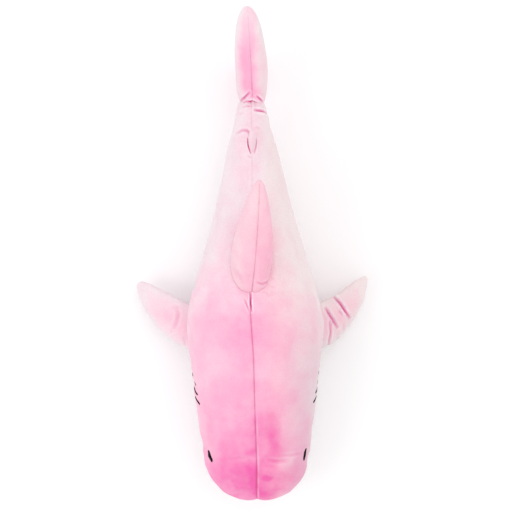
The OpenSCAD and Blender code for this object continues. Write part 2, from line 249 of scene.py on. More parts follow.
# grids of points, and panels cut from them
def gridNormals(p):
    # outward normals of a ring grid
    along = np.gradient(p, axis=0)
    across = np.roll(p, -1, 1) - np.roll(p, 1, 1)
    n = np.cross(across, along)
    n = unit(n)
    for end, inner in ((0, 1), (-1, -2)):
        if np.linalg.norm(p[end, 0] - p[end, 1]) < 1e-7:
            n[end] = unit(n[inner].mean(0))
    middle = len(p) // 2
    outward = ((p[middle] - p[middle].mean(0)) * n[middle]).sum() > 0
    return n if outward else -n


def seamDistance(p, seamColumns):
    # how far each point of a ring is from the nearest seam, measured along the ring
    steps = np.linalg.norm(np.roll(p, -1, 1) - p, axis=-1)
    whole = steps.sum(1, keepdims=True)
    place = np.concatenate([np.zeros_like(whole), np.cumsum(steps, 1)[:, :-1]], 1)
    best = np.full(place.shape, 9.0)
    for c in seamColumns:
        gap = np.abs(place - place[:, c : c + 1])
        best = np.minimum(best, np.minimum(gap, whole - gap))
    return best


clothWork = {
    "step": 3,  # one simulated point stands for this many points of the grid each way
    "endRows": 8,  # the rows near the two ends, drawn together to a point, stay out of it
    "frames": 26,
    "evening": 6,  # rounds of averaging that tell the broad swelling from the wrinkles
    "broadTaken": 0.8,  # how much of the broad swelling is taken off again
    "limit": 0.0028,
}


def interpolation(count, at, wrap):
    # a matrix that turns values at some places of a row into smooth values at every place
    fine = np.arange(count)
    stops = np.append(at, count) if wrap else np.array(at)
    matrix = np.stack([np.interp(fine, stops, row[: len(stops)]) for row in np.eye(len(stops))], 1)
    if wrap:
        matrix[:, 0] += matrix[:, -1]
        matrix = matrix[:, :-1]
    kernel = np.array([1, 2, 3, 2, 1]) / 9
    reach = fine[:, None] + np.arange(-2, 3)
    reach = np.mod(reach, count) if wrap else np.clip(reach, 0, count - 1)
    return (matrix[reach] * kernel[None, :, None]).sum(1)


def relax(name, p, n, seamColumns, slack, bulge, seed):
    # the stuffed cloth settles: a little longer than its seams, it wrinkles between them under pressure
    rows, cols = p.shape[:2]
    rowsAt = list(range(clothWork["endRows"], rows - clothWork["endRows"], clothWork["step"]))
    colsAt = sorted(set(range(0, cols, clothWork["step"])) | set(seamColumns))
    coarse = p[np.ix_(rowsAt, colsAt)]
    shape = coarse.shape[:2]
    ids = np.arange(shape[0] * shape[1]).reshape(shape)
    around = np.roll(ids, -1, 1)
    faces = np.stack([ids[:-1], ids[1:], around[1:], around[:-1]], -1).reshape(-1, 4)
    if clothFlipped(coarse, n[np.ix_(rowsAt, colsAt)]):
        faces = faces[:, ::-1]
    mesh = bpy.data.meshes.new(name)
    mesh.from_pydata(coarse.reshape(-1, 3).tolist(), [], faces.tolist())
    work = bpy.data.objects.new(name, mesh)
    bpy.context.scene.collection.objects.link(work)
    # the cloth is cut longer than the seams allow, more in some places than in others
    tight = work.vertex_groups.new(name="tight")
    for k, weight in enumerate(0.5 + 0.5 * lumps(coarse.reshape(-1, 3), 0.10, seed)):
        tight.add([k], weight, "ADD")
    held = work.vertex_groups.new(name="held")
    fixed = np.zeros(shape, bool)
    fixed[[0, -1]] = True
    fixed[:, [colsAt.index(c) for c in seamColumns]] = True
    held.add(ids[fixed].tolist(), 1.0, "ADD")
    cloth = work.modifiers.new("cloth", "CLOTH")
    settings = cloth.settings
    settings.quality = 7
    settings.mass = 0.02
    settings.air_damping = 4
    settings.tension_stiffness = 60
    settings.compression_stiffness = 60
    settings.shear_stiffness = 12
    settings.bending_stiffness = 0.05
    settings.vertex_group_mass = "held"
    settings.vertex_group_shrink = "tight"
    settings.shrink_min = -slack
    settings.shrink_max = 0.0
    settings.use_pressure = True
    settings.uniform_pressure_force = bulge
    settings.effector_weights.gravity = 0
    cloth.point_cache.frame_start = 1
    cloth.point_cache.frame_end = clothWork["frames"]
    scene = bpy.context.scene
    for frame in range(clothWork["frames"] + 1):
        scene.frame_set(frame)
    done = work.evaluated_get(bpy.context.evaluated_depsgraph_get()).to_mesh()
    moved = np.zeros(shape[0] * shape[1] * 3)
    done.vertices.foreach_get("co", moved)
    scene.frame_set(1)
    bpy.data.objects.remove(work)
    if not np.isfinite(moved).all():
        print(name, "failed: the cloth didn't settle, so its wrinkles are left out")
        return np.zeros((rows, cols))
    shift = ((moved.reshape(*shape, 3) - coarse) * n[np.ix_(rowsAt, colsAt)]).sum(-1)
    # the wrinkles are kept, and little of the swelling, so the outline stays nearly as it was drawn
    wide = shift
    for turn in range(clothWork["evening"]):
        padded = np.concatenate([wide[:1], wide, wide[-1:]])
        wide = (padded[:-2] + wide + padded[2:] + np.roll(wide, 1, 1) + np.roll(wide, -1, 1)) / 5
    shift = shift - clothWork["broadTaken"] * wide
    limit = clothWork["limit"]
    deepest = round(float(np.abs(shift).max() * 1000), 1)
    print(name, "settled: wrinkles of", deepest, "mm at most, limited to", limit * 1000)
    shift = limit * np.tanh(shift / limit)
    return interpolation(rows, rowsAt, False) @ shift @ interpolation(cols, colsAt, True).T


def clothFlipped(p, n):
    i = len(p) // 2
    return np.cross(p[i + 1, 1] - p[i, 1], p[i, 2] - p[i, 1]) @ n[i, 1] < 0


def panel(name, grid, normals, columns, material, marks, hem, poles):
    # the columns from first to last become one piece, with its two side edges turned in
    take = [c % grid.shape[1] for c in range(columns[0], columns[1] + 1)]
    p, n = grid[:, take], normals[:, take]
    firstEdge = p[:, 0] - n[:, 0] * hem + unit(p[:, 1] - p[:, 0]) * hem * 0.15
    lastEdge = p[:, -1] - n[:, -1] * hem + unit(p[:, -2] - p[:, -1]) * hem * 0.15
    p = np.concatenate([firstEdge[:, None], p, lastEdge[:, None]], 1)
    n = np.concatenate([n[:, :1], n, n[:, -1:]], 1)
    rows, cols = p.shape[:2]
    ids = np.arange(rows * cols).reshape(rows, cols)
    if poles[0]:
        ids[0] = ids[0, cols // 2]
    if poles[1]:
        ids[-1] = ids[-1, cols // 2]
    middle = rows // 2, cols // 2
    facing = np.cross(p[middle[0] + 1, middle[1]] - p[middle], p[middle[0], middle[1] + 1] - p[middle])
    turned = facing @ n[middle] < 0
    faces = []
    for i in range(rows - 1):
        for j in range(cols - 1):
            face = [ids[i, j], ids[i + 1, j], ids[i + 1, j + 1], ids[i, j + 1]]
            face = [int(v) for k, v in enumerate(face) if v != face[k - 1]]
            if len(face) > 2:
                faces.append(face[::-1] if turned else face)
    used = sorted({v for face in faces for v in face})
    new = {v: k for k, v in enumerate(used)}
    mesh = bpy.data.meshes.new(name)
    mesh.from_pydata(p.reshape(-1, 3)[used].tolist(), [], [[new[v] for v in face] for face in faces])
    mesh.update()
    for key, value in marks.items():
        value = value[:, take]
        value = np.concatenate([value[:, :1], value, value[:, -1:]], 1).reshape(rows * cols, 3)[used]
        attribute = mesh.attributes.new(key, "FLOAT_VECTOR", "POINT")
        attribute.data.foreach_set("vector", value.astype(np.float32).ravel())
    mesh.shade_smooth()
    mesh.materials.append(material)
    piece = bpy.data.objects.new(name, mesh)
    bpy.context.scene.collection.objects.link(piece)
    return piece


# shader maths
class Value:
    def __init__(self, tree, socket=None):
        self.tree = tree
        self.socket = socket

    def node(self, kind, settings=None, output=0, **inputs):
        made = self.tree.nodes.new(kind)
        for key, value in (settings or {}).items():
            if key == "stops":
                elements = made.color_ramp.elements
                while len(elements) < len(value):
                    elements.new(0.5)
                for element, (place, colour) in zip(elements, value):
                    element.position = place
                    shade = colour if isinstance(colour, tuple) else (colour, colour, colour)
                    element.color = (*shade, 1)
            else:
                setattr(made, key, value)
        for key, value in inputs.items():
            name = key.replace("_", " ")
            socket = made.inputs[int(name[1:])] if name[1:].isdigit() else made.inputs[name]
            if isinstance(value, Value):
                self.tree.links.new(value.socket, socket)
            else:
                socket.default_value = value
        return Value(self.tree, made.outputs[output])

    def math(self, operation, first, second):
        return self.node("ShaderNodeMath", {"operation": operation}, i0=first, i1=second)

    def __add__(self, other):
        return self.math("ADD", self, other)

    def __radd__(self, other):
        return self.math("ADD", other, self)

    def __mul__(self, other):
        return self.math("MULTIPLY", self, other)

    def __rmul__(self, other):
        return self.math("MULTIPLY", other, self)

    def __sub__(self, other):
        return self.math("SUBTRACT", self, other)

    def __rsub__(self, other):
        return self.math("SUBTRACT", other, self)

    def clamp(self):
        return self.node("ShaderNodeClamp", Value=self)

    def ease(self, low, high):
        settings = {"interpolation_type": "SMOOTHSTEP"}
        return self.node("ShaderNodeMapRange", settings, Value=self, From_Min=low, From_Max=high)

    def ramp(self, *stops):
        return self.node("ShaderNodeValToRGB", {"stops": stops}, Fac=self)

    def part(self, name):
        return self.node("ShaderNodeSeparateXYZ", None, "XYZ".index(name), Vector=self)

    def vector(self, operation, other, output=0):
        return self.node("ShaderNodeVectorMath", {"operation": operation}, output, i0=self, i1=other)

    def noise(self, scale, detail=2.0, output=0):
        return self.node("ShaderNodeTexNoise", None, output, Vector=self, Scale=scale, Detail=detail)

    def blob(self, x, y, wide, long):
        # 1 in the middle of an oval as seen from above, 0 outside it
        spread = self.vector("SUBTRACT", (x, y, 0)).vector("MULTIPLY", (1 / wide, 1 / long, 0))
        return spread.node("ShaderNodeVectorMath", {"operation": "LENGTH"}, 1, i0=spread).ease(1, 0)

    def mix(self, colour, other, blend="MIX"):
        # self is the share of other
        settings = {"data_type": "RGBA", "blend_type": blend}
        return self.node("ShaderNodeMix", settings, 2, i0=self, i6=colour, i7=other)


def rgb(r, g, b):
    # a screen colour as the linear colour that shaders use
    return tuple(c / 3294.6 if c < 11 else ((c / 255 + 0.055) / 1.055) ** 2.4 for c in (r, g, b))


def newFinish(name, roughness, sheen, sheenTint):
    material = bpy.data.materials.new(name)
    material.use_nodes = True
    tree = material.node_tree
    shader = tree.nodes["Principled BSDF"]
    shader.inputs["Roughness"].default_value = roughness
    shader.inputs["Specular IOR Level"].default_value = 0.12
    shader.inputs["Sheen Weight"].default_value = sheen
    shader.inputs["Sheen Roughness"].default_value = 0.45
    shader.inputs["Sheen Tint"].default_value = (*sheenTint, 1)
    start = Value(tree)
    place = start.node("ShaderNodeAttribute", {"attribute_name": "restPlace"}, 1)
    trace = start.node("ShaderNodeAttribute", {"attribute_name": "trace"}, 1)
    return material, shader, place, trace


plush = {
    # from undyed to fully dyed
    "dyeAndShade": [
        (240, 228, 232), (244, 213, 224), (247, 192, 214),
        (246, 171, 204), (243, 144, 191), (240, 108, 177),
    ],
    "dyeAt": [0.0, 0.25, 0.5, 0.7, 0.85, 1.0],
    "foldShade": (226, 84, 156),
    "seam": (214, 104, 160),
    "paintedHighlight": (255, 247, 251),
    "pileScale": 620,
    "pileHeight": 0.0012,
}


def plushFinish(name, dyeAndShade, seamShows=0.5, salmon=0.0):
    # the dye function gives how much colour the cloth took, with painted shade mixed in for some pieces;
    # trace holds the edge, the folds and the seams
    material, shader, place, trace = newFinish(name, 0.85, 0.22, (1, 0.94, 0.97))
    wander = place.noise(11, 3.0, 1).vector("SUBTRACT", (0.5, 0.5, 0.5))
    wander = wander.vector("MULTIPLY", (0.05, 0.05, 0.03))
    amount = dyeAndShade(place.vector("ADD", wander), place, trace)
    stops = [(at, rgb(*colour)) for at, colour in zip(plush["dyeAt"], plush["dyeAndShade"])]
    colour = amount.clamp().ramp(*stops)
    # painted warm shade on the +X side, away from the key light, plus the piece's own salmon tint
    rightShadeAndSalmon = (place.part("X").ease(-0.01, 0.05) * 0.8 + salmon).clamp()
    colour = rightShadeAndSalmon.mix(colour, (0.985, 0.975, 0.93, 1), "MULTIPLY")
    # painted grey shade on the head's +X flank, away from the key light
    rightFlankShade = place.part("X").ease(0.03, 0.11) * place.part("Y").ease(-0.04, -0.26)
    colour = rightFlankShade.mix(colour, (0.87, 0.93, 0.93, 1), "MULTIPLY")
    brushed = place.vector("MULTIPLY", (1, 0.5, 1)).noise(30, 3.0)
    colour = brushed.ease(0.42, 0.7).mix(colour, (0.985, 0.94, 0.96, 1), "MULTIPLY")
    # painted light: the first value is painted fold shade, the second painted highlights on fold and seam
    # lips
    shine = place.node("ShaderNodeAttribute", {"attribute_name": "shine"}, 1)
    # painted highlight, near white, on the lips of folds and of the back seam
    colour = shine.part("Y").clamp().mix(colour, (*rgb(*plush["paintedHighlight"]), 1))
    # painted fold shade: deeper pink in the folds, partly the parted pile's own colour
    colour = shine.part("X").clamp().mix(colour, (*rgb(*plush["foldShade"]), 1))
    shows = place.part("Y").ease(0.02, -0.08) * 0.8 + 0.2
    colour = (trace.part("Z") * seamShows * shows).clamp().mix(colour, (*rgb(*plush["seam"]), 1))
    tufts = place.noise(plush["pileScale"], 2.0)
    clumps = place.noise(plush["pileScale"] / 5, 2.0)
    height = tufts * 0.6 + clumps * 0.8
    pile = plush["pileHeight"]
    bump = height.node("ShaderNodeBump", None, 0, Strength=0.35, Distance=pile, Height=height)
    colour = tufts.ease(0.4, 0.65).mix(colour, (0.97, 0.9, 0.93, 1), "MULTIPLY")
    place.tree.links.new(colour.socket, shader.inputs["Base Color"])
    place.tree.links.new(bump.socket, shader.inputs["Normal"])
    return material


def backDyeAndShade(soft, place, trace):
    along = soft.part("Y")
    middle = along.node("ShaderNodeMapRange", None, 0, Value=along, From_Min=-0.5, From_Max=0.36)
    middle = middle.ramp(
        (0.0, 0.94), (0.06, 0.91), (0.11, 0.86), (0.17, 0.79), (0.25, 0.69), (0.32, 0.60), (0.45, 0.60),
        (0.53, 0.38), (0.6, 0.26), (0.73, 0.18), (0.8, 0.14), (0.87, 0.15), (1.0, 0.22),
    )
    head = soft.part("Y").ease(-0.36, -0.44)
    # less dye towards the flanks, partly the cloth's own fade and partly painted shade, more on the +X side
    # away from the key light
    side = trace.part("X") * (0.5 - head * 0.2 + soft.part("X").ease(-0.02, 0.07) * 0.55)
    spots = soft.blob(0.036, -0.345, 0.022, 0.07) * 0.2 - soft.blob(0.062, -0.40, 0.03, 0.035) * 0.16
    # more colour in these places: across, along, half width, half length, how much
    for x, y, wide, long, more in [
        (-0.006, -0.380, 0.018, 0.016, 0.18),
        (-0.006, -0.440, 0.018, 0.050, 0.12),
        (0.028, -0.437, 0.018, 0.014, 0.20),
        (-0.020, -0.130, 0.050, 0.070, 0.05),
        (0.006, -0.350, 0.034, 0.060, 0.10),
        (0.012, -0.475, 0.040, 0.030, 0.14),
        (-0.075, -0.425, 0.035, 0.050, 0.12),
    ]:
        spots = spots + soft.blob(x, y, wide, long) * more
    patches = place.noise(17, 3.0).ease(0.36, 0.64) - 0.5
    return middle - side + spots + patches * 0.13 + (place.noise(46, 2.0) - 0.5) * 0.14


def bellyDye(soft, place, trace):
    return trace.part("X").ease(0.75, 0.58) * 0.16 + (place.noise(16, 2.0) - 0.5) * 0.2


def dorsalDyeAndShade(soft, place, trace):
    upper = soft.part("Z").ease(0.27, 0.35) * 0.2
    fading = soft.part("X").ease(-0.016, -0.036) * 0.14
    # painted shade: the +X face of the fin, away from the key light, gets deeper pink
    rightFaceShade = soft.part("X").ease(-0.004, 0.016) * 0.1
    return 0.45 - upper - fading + rightFaceShade + (place.noise(26, 2.0) - 0.5) * 0.24


def sideFinDyeAndShade(soft, place, trace):
    reach = soft.part("X").node("ShaderNodeMath", {"operation": "ABSOLUTE"}, i0=soft.part("X"))
    tip = reach.ease(0.18, 0.25) * 0.16
    # paler towards the fin's edges and tip: painted grey shade of the rounded edge
    return 0.35 - trace.part("X") * 0.42 - tip + (place.noise(26, 2.0) - 0.5) * 0.24


def tailFinDye(soft, place, trace):
    across = soft.part("X").node("ShaderNodeMath", {"operation": "ABSOLUTE"}, i0=soft.part("X") + 0.006)
    middle = soft.part("Y").ease(0.46, 0.41) * 0.3 + 0.34 - soft.part("Y").ease(0.46, 0.5) * 0.12
    return middle - across.ease(0.006, 0.03) * 0.5 + (place.noise(26, 2.0) - 0.5) * 0.2


def rearFinDye(soft, place, trace):
    return 0.1 + trace.part("X") * 0.05 + (place.noise(60, 2.0) - 0.5) * 0.1


def threadFinish(name, colour):
    material, shader, place, trace = newFinish(name, 0.7, 0.0, (1, 1, 1))
    light = tuple(c * 1.5 + 0.002 for c in rgb(*colour))
    shade = place.noise(420, 2.0).ease(0.35, 0.75).mix((*rgb(*colour), 1), (*light, 1))
    fibres = place.noise(1500, 2.0)
    bump = fibres.node("ShaderNodeBump", None, 0, Strength=0.3, Distance=0.0003, Height=fibres)
    place.tree.links.new(shade.socket, shader.inputs["Base Color"])
    place.tree.links.new(bump.socket, shader.inputs["Normal"])
    return material


finish = {
    "back": plushFinish("backPlush", backDyeAndShade, 0.45),
    "belly": plushFinish("bellyPlush", bellyDye, 0.2),
    "dorsal": plushFinish("dorsalPlush", dorsalDyeAndShade, 0.6, 0.7),
    "sideFin": plushFinish("sideFinPlush", sideFinDyeAndShade, 0.3, 0.15),
    "tailFin": plushFinish("tailFinPlush", tailFinDye, 0.1),
    "rearFin": plushFinish("rearFinPlush", rearFinDye, 0.1),
    "eye": threadFinish("eyeThread", (16, 1, 8)),
    "dark": threadFinish("gillThread", (24, 3, 12)),
    "seam": threadFinish("closingThread", (238, 160, 195)),
}
print("finishes made")

# the body: two back panels and a belly panel, each from nose to tail
body = {
    "rows": 361,
    "noseRows": 46,
    "backColumns": 90,
    "bellyColumns": 90,
    "slack": 0.06,
    "pressure": 2.0,
    "bigLump": 0.0016,
    "smallLump": 0.0007,
    "seamDepth": 0.0018,
    "seamWidth": 0.0021,
    "seamHollow": 0.0018,
    "seamHollowWidth": 0.016,
    "pucker": 0.0011,
    "puckerLength": 0.013,
    "hem": 0.003,
}
seam = bodyShape["seamAngle"]
backTurn = denseEnds(body["backColumns"], 0.6) * seam
bellyTurn = seam + denseEnds(body["bellyColumns"], 0.7) * (360 - 2 * seam)
turns = np.concatenate([backTurn[:-1], bellyTurn[:-1], 360 - backTurn[::-1][:-1]])
seamColumns = [0, body["backColumns"], body["backColumns"] + body["bellyColumns"]]
noseEnd, tailEnd = bodyShape["noseLength"], bodyShape["end"]
places = np.concatenate([
    noseEnd * (1 - np.cos(np.linspace(0, math.pi / 2, body["noseRows"]))),
    np.linspace(noseEnd, tailEnd, body["rows"] - body["noseRows"] + 1)[1:],
])
rest = bodyPoints(places[:, None], turns[None, :])
normals = gridNormals(rest)
bodyFolds = [
    # the tuck in front of the dorsal fin, and a short fold beside it
    ([(-0.0076, -0.057), (-0.0080, -0.075), (-0.0066, -0.093)], 0.0015, 0.0034, 1.2),
    ([(-0.0205, -0.069), (-0.0160, -0.080), (-0.0106, -0.093)], 0.0016, 0.0018, 0.45),
    # puckers beside the front of the dorsal fin
    ([(0.0180, -0.0530), (0.0290, -0.0600)], 0.0022, 0.0018, 0.05),
    ([(0.0270, -0.0400), (0.0420, -0.0470)], 0.0024, 0.0020, 0.05),
    ([(0.0320, -0.0260), (0.0460, -0.0290)], 0.0024, 0.0014, 0.0),
    ([(-0.0420, -0.0420), (-0.0560, -0.0500)], 0.0028, 0.0014, 0.0),
    ([(0.020, -0.064), (0.034, -0.058), (0.040, -0.050)], 0.0030, 0.0014, 0.0),
    # on both sides of the small rear fin
    ([(-0.0118, 0.260), (-0.0104, 0.244), (-0.0056, 0.228)], 0.0013, 0.0024, 1.2),
    ([(0.0060, 0.258), (0.0052, 0.243), (0.0018, 0.229)], 0.0014, 0.0016, 0.6),
    (
        [(-0.0350, 0.272), (-0.0240, 0.277), (-0.0130, 0.276), (-0.0070, 0.270), (-0.0052, 0.260)],
        0.0024, 0.0026, 0.5,
    ),
    ([(0.0010, 0.279), (0.0090, 0.282), (0.0150, 0.279)], 0.0026, 0.0010, 0.15),
    ([(-0.0130, 0.223), (-0.0040, 0.220)], 0.0020, 0.0010, 0.2),
    # where the tail narrows into its fin
    ([(0.0035, 0.3190), (0.0150, 0.3175), (0.0290, 0.3150)], 0.0022, 0.0036, 1.0),
    ([(-0.0215, 0.3265), (-0.0120, 0.3275), (-0.0037, 0.3270)], 0.0018, 0.0018, 0.35),
    ([(-0.0300, 0.3120), (-0.0200, 0.3140)], 0.0020, 0.0012, 0.1),
    # faint wrinkles across the head
    ([(0.048, -0.392), (0.070, -0.393), (0.094, -0.391)], 0.0024, 0.0012, 0.15),
    ([(0.026, -0.402), (0.044, -0.405), (0.066, -0.404)], 0.0030, 0.0014, 0.2),
    ([(-0.048, -0.398), (-0.030, -0.395), (-0.014, -0.397)], 0.0030, 0.0012, 0.05),
    ([(-0.056, -0.436), (-0.040, -0.428), (-0.020, -0.430)], 0.0040, 0.0010, 0.0),
    ([(0.018, -0.118), (0.036, -0.112), (0.058, -0.114)], 0.0040, 0.0010, 0.0),
    ([(-0.090, -0.098), (-0.060, -0.106), (-0.034, -0.102)], 0.0050, 0.0010, 0.0),
]
gap = seamDistance(rest, seamColumns)
shift, dark, light = creases(rest, normals, bodyFolds)
settled = relax("bodyCloth", rest, normals, seamColumns, body["slack"], body["pressure"], 61)
shift += settled
shift += body["bigLump"] * lumps(rest, 0.075, 3) + body["smallLump"] * lumps(rest, 0.030, 5)
tight = 0.5 + 0.5 * smooth(0.06, -0.10, rest[..., 1])
tight = np.where(np.minimum(turns, 360 - turns)[None, :] < 50, tight, 1)
shift -= tight * body["seamDepth"] * bell(gap, body["seamWidth"])
shift -= tight * body["seamHollow"] * bell(gap, body["seamHollowWidth"])
ripple = lumps(rest * np.array([0.25, 1, 0.25]), body["puckerLength"], 7)
shift += body["pucker"] * ripple * bell(gap, 0.018) * smooth(0.0, 0.004, gap)


embroidery = {
    "leftDrop": 8,  # degrees that the left side's eye and bars sit lower
    "eyeAt": 0.101,
    "eyeTurn": 60.5,
    "eyeTilt": 8,
    "eyeLength": 0.027,
    "eyeHeight": 0.016,
    "barCount": 4,
    "barAt": 0.222,
    "barPitch": 0.0195,
    "barLean": 0.011,
    "barTop": 67,
    "barLow": 86,
    "barStep": 3.4,
    "barWidth": 0.005,
    "mouthAt": 0.088,
    "mouthDeep": 0.042,
    "mouthTurn": 58,
    "mouthWidth": 0.003,
    "lift": 0.0012,
    "dimple": 0.0014,
}


def barLine(side, number):
    f = np.linspace(0, 1, 24)
    drop = embroidery["leftDrop"] if side > 0 else 0
    d = embroidery["barAt"] + number * embroidery["barPitch"] - embroidery["barLean"] * (1 - f)
    low, top = embroidery["barLow"], embroidery["barTop"]
    return d, side * (top + drop + number * embroidery["barStep"] + (low - top) * f)


def mouthLine():
    f = np.linspace(1, -1, 90)
    return embroidery["mouthAt"] + embroidery["mouthDeep"] * f * f, 180 - embroidery["mouthTurn"] * f


def eyeMiddle(side):
    drop = embroidery["leftDrop"] if side > 0 else 0
    return embroidery["eyeAt"], side * (embroidery["eyeTurn"] + drop)


def degreesPerMetre(d):
    return math.degrees(1) / (outline(d)[0] * 0.95)


# stitches pull the cloth in
for side in (-1, 1):
    for number in range(embroidery["barCount"]):
        near, where = lineDistance(rest, bodyPoints(*barLine(side, number)))
        shift -= embroidery["dimple"] * bell(near, 0.006)
    eyePlace = bodyPoints(*eyeMiddle(side))
    along = np.abs(rest[..., 1] - eyePlace[1]) / (embroidery["eyeLength"] / 2 + 0.004)
    around = np.linalg.norm((rest - eyePlace)[..., [0, 2]], axis=-1)
    around = around / (embroidery["eyeHeight"] / 2 + 0.004)
    shift -= embroidery["dimple"] * 1.2 * bell(np.maximum(np.hypot(along, around) - 0.7, 0), 0.5)
near, where = lineDistance(rest, bodyPoints(*mouthLine()))
shift -= embroidery["dimple"] * (1.4 * bell(near, 0.005) - 0.8 * bell(near - 0.012, 0.007))

# the cloth dips round the root of each fin
dorsalRoot = {"x": -0.004, "y": 0.0115, "long": 0.070, "wide": 0.038}
ring = np.hypot(
    (rest[..., 0] - dorsalRoot["x"]) / dorsalRoot["wide"],
    (rest[..., 1] - dorsalRoot["y"]) / dorsalRoot["long"],
)
shift -= 0.0022 * bell((ring - 1.02) * 0.05, 0.006) * smooth(0.5, 0.8, normals[..., 2])
ring = np.hypot((rest[..., 0] + 0.002) / 0.008, (rest[..., 1] - 0.244) / 0.019)
shift -= 0.0012 * bell((ring - 1.05) * 0.012, 0.003) * smooth(0.5, 0.8, normals[..., 2])
# and gathers where the tail goes into its fin
gather = np.sin(np.radians(turns * 11) + 1.5 * np.sin(np.radians(turns * 3)))[None, :]
shift += 0.0016 * gather * smooth(0.300, 0.334, rest[..., 1])
shift -= 0.0030 * smooth(0.318, 0.336, rest[..., 1])
skin = rest + normals * shift[..., None]
skin[..., 2] = np.maximum(skin[..., 2], 0.0004)
around = np.broadcast_to(np.minimum(turns, 360 - turns) / 180, gap.shape)
# beside the back seam, a painted highlight on one lip of the groove, where the light would catch it
lip = bell(np.abs(rest[..., 0] - rest[:, :1, 0]) - 0.0035, 0.0016) * (turns < 90)
lip = lip * smooth(-0.22, -0.42, rest[..., 1]) * 0.4 * (0.5 + 0.5 * lumps(rest, 0.02, 9))
marks = {
    "restPlace": rest,
    "trace": np.stack([around, dark, bell(gap, 0.0013)], -1),
    # painted fold shade, then painted highlights on the lips of folds and of the back seam
    "shine": np.stack([dark, np.maximum(light, lip), dark * 0], -1),
}


def bodyPanel(name, columns, material, nodes):
    piece = panel(name, skin, normals, columns, finish[material], marks, body["hem"], (True, False))
    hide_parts(*nodes)
    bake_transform(piece)


leftNodes = ["back_panel_left", "tail_back_panel_left"]
bodyPanel("backPanelLeft", (0, seamColumns[1]), "back", leftNodes)
bellyNodes = ["belly_panel", "tail_belly_panel", "body_stuffing", "tail_stuffing"]
bodyPanel("bellyPanel", (seamColumns[1], seamColumns[2]), "belly", bellyNodes)
rightNodes = ["back_panel_right", "tail_back_panel_right"]
bodyPanel("backPanelRight", (seamColumns[2], len(turns)), "back", rightNodes)
print("body panels made")


# embroidery
def onSkin(d, phi, lift):
    # a point above the finished cloth
    i = np.clip(np.interp(d, places, np.arange(len(places))), 0, len(places) - 1.001)
    angles = np.append(turns, 360)
    j = np.interp(np.mod(phi, 360), angles, np.arange(len(angles)))
    row, column = i.astype(int), j.astype(int)
    a, b = (i - row)[..., None], (j - column)[..., None]
    nextColumn = (column + 1) % len(turns)
    column = column % len(turns)

    def between(grid):
        return (
            grid[row, column] * (1 - a) * (1 - b)
            + grid[row, nextColumn] * (1 - a) * b
            + grid[row + 1, column] * a * (1 - b)
            + grid[row + 1, nextColumn] * a * b
        )

    return between(skin) + unit(between(normals)) * np.asarray(lift)[..., None]


def threadMesh(name, grids, material, nodes, body=None):
    # each grid is a closed pad of threads: its last row and column join its first
    points, faces, places = [], [], []
    for grid in grids:
        rows, cols = grid.shape[:2]
        first = len(points)
        points.extend(grid.reshape(-1, 3).tolist())
        for i in range(rows - 1):
            for j in range(cols):
                k = (j + 1) % cols
                corners = i * cols + j, (i + 1) * cols + j, (i + 1) * cols + k, i * cols + k
                faces.append([first + v for v in corners])
        faces.append([first + j for j in range(cols)])
        faces.append([first + (rows - 1) * cols + j for j in range(cols)][::-1])
    mesh = bpy.data.meshes.new(name)
    mesh.from_pydata(points, [], faces)
    mesh.update()
    flat = np.array(points, np.float32)
    for key in ("restPlace", "trace", "shine"):
        attribute = mesh.attributes.new(key, "FLOAT_VECTOR", "POINT")
        attribute.data.foreach_set("vector", (flat if key == "restPlace" else flat * 0).ravel())
    mesh.shade_smooth()
    mesh.materials.append(material)
    piece = bpy.data.objects.new(name, mesh)
    bpy.context.scene.collection.objects.link(piece)
    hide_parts(*nodes)
    if body:
        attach(piece, body)
    return piece


def satin(middle, across, halfWidth, pitch, lift, sink=0.0012):
    # a closed pad of threads laid side by side along middle; middle and across give (d, phi) rows
    section = np.linspace(0, 2 * math.pi, 17)[:-1]
    count = len(halfWidth)
    u = np.cos(section)[None, :] * halfWidth[:, None]
    v = np.sin(section)[None, :]
    thread = np.abs(np.sin(np.arange(count) * math.pi / pitch))[:, None]
    full = np.minimum(1, halfWidth / max(halfWidth.max() * 0.35, 1e-9))[:, None]
    above = (lift * 0.65 + lift * 0.35 * thread) * np.maximum(v, 0) ** 0.5 * full
    height = np.where(v > 0, above, sink * v)
    d = middle[0][:, None] + across[0][:, None] * u
    phi = middle[1][:, None] + across[1][:, None] * u
    return onSkin(d, phi, height)


def eyePad(side):
    d0, phi0 = eyeMiddle(side)
    count = 180
    u = np.linspace(-1, 1, count) * 0.998
    half = np.sqrt(1 - u * u) * embroidery["eyeHeight"] / 2
    tilt = math.radians(embroidery["eyeTilt"])
    scale = degreesPerMetre(d0) * side
    length = u * embroidery["eyeLength"] / 2
    middle = d0 + length * math.cos(tilt), phi0 + length * math.sin(tilt) * scale
    across = np.full(count, -math.sin(tilt)), np.full(count, math.cos(tilt) * scale)
    return satin(middle, across, half, 4, embroidery["lift"])


def barPad(line, width, perThread=4, pitch=0.0006):
    # threads run across the bar
    d, phi = line
    p = bodyPoints(d, phi)
    length = np.concatenate([[0], np.cumsum(np.linalg.norm(np.diff(p, axis=0), axis=1))])
    count = int(length[-1] / pitch) * perThread
    fine = np.linspace(0, length[-1], count)
    d, phi = np.interp(fine, length, d), np.interp(fine, length, phi)
    metresPerDegree = 1 / np.array([degreesPerMetre(v) for v in d])
    way = unit(np.stack([np.gradient(d), np.gradient(phi) * metresPerDegree], -1))
    end = np.minimum(fine, length[-1] - fine) / (width / 2)
    half = width / 2 * np.sqrt(np.clip(1 - (1 - np.clip(end, 0, 1)) ** 2, 0.02, 1))
    return satin((d, phi), (way[:, 1], -way[:, 0] / metresPerDegree), half, perThread, embroidery["lift"])


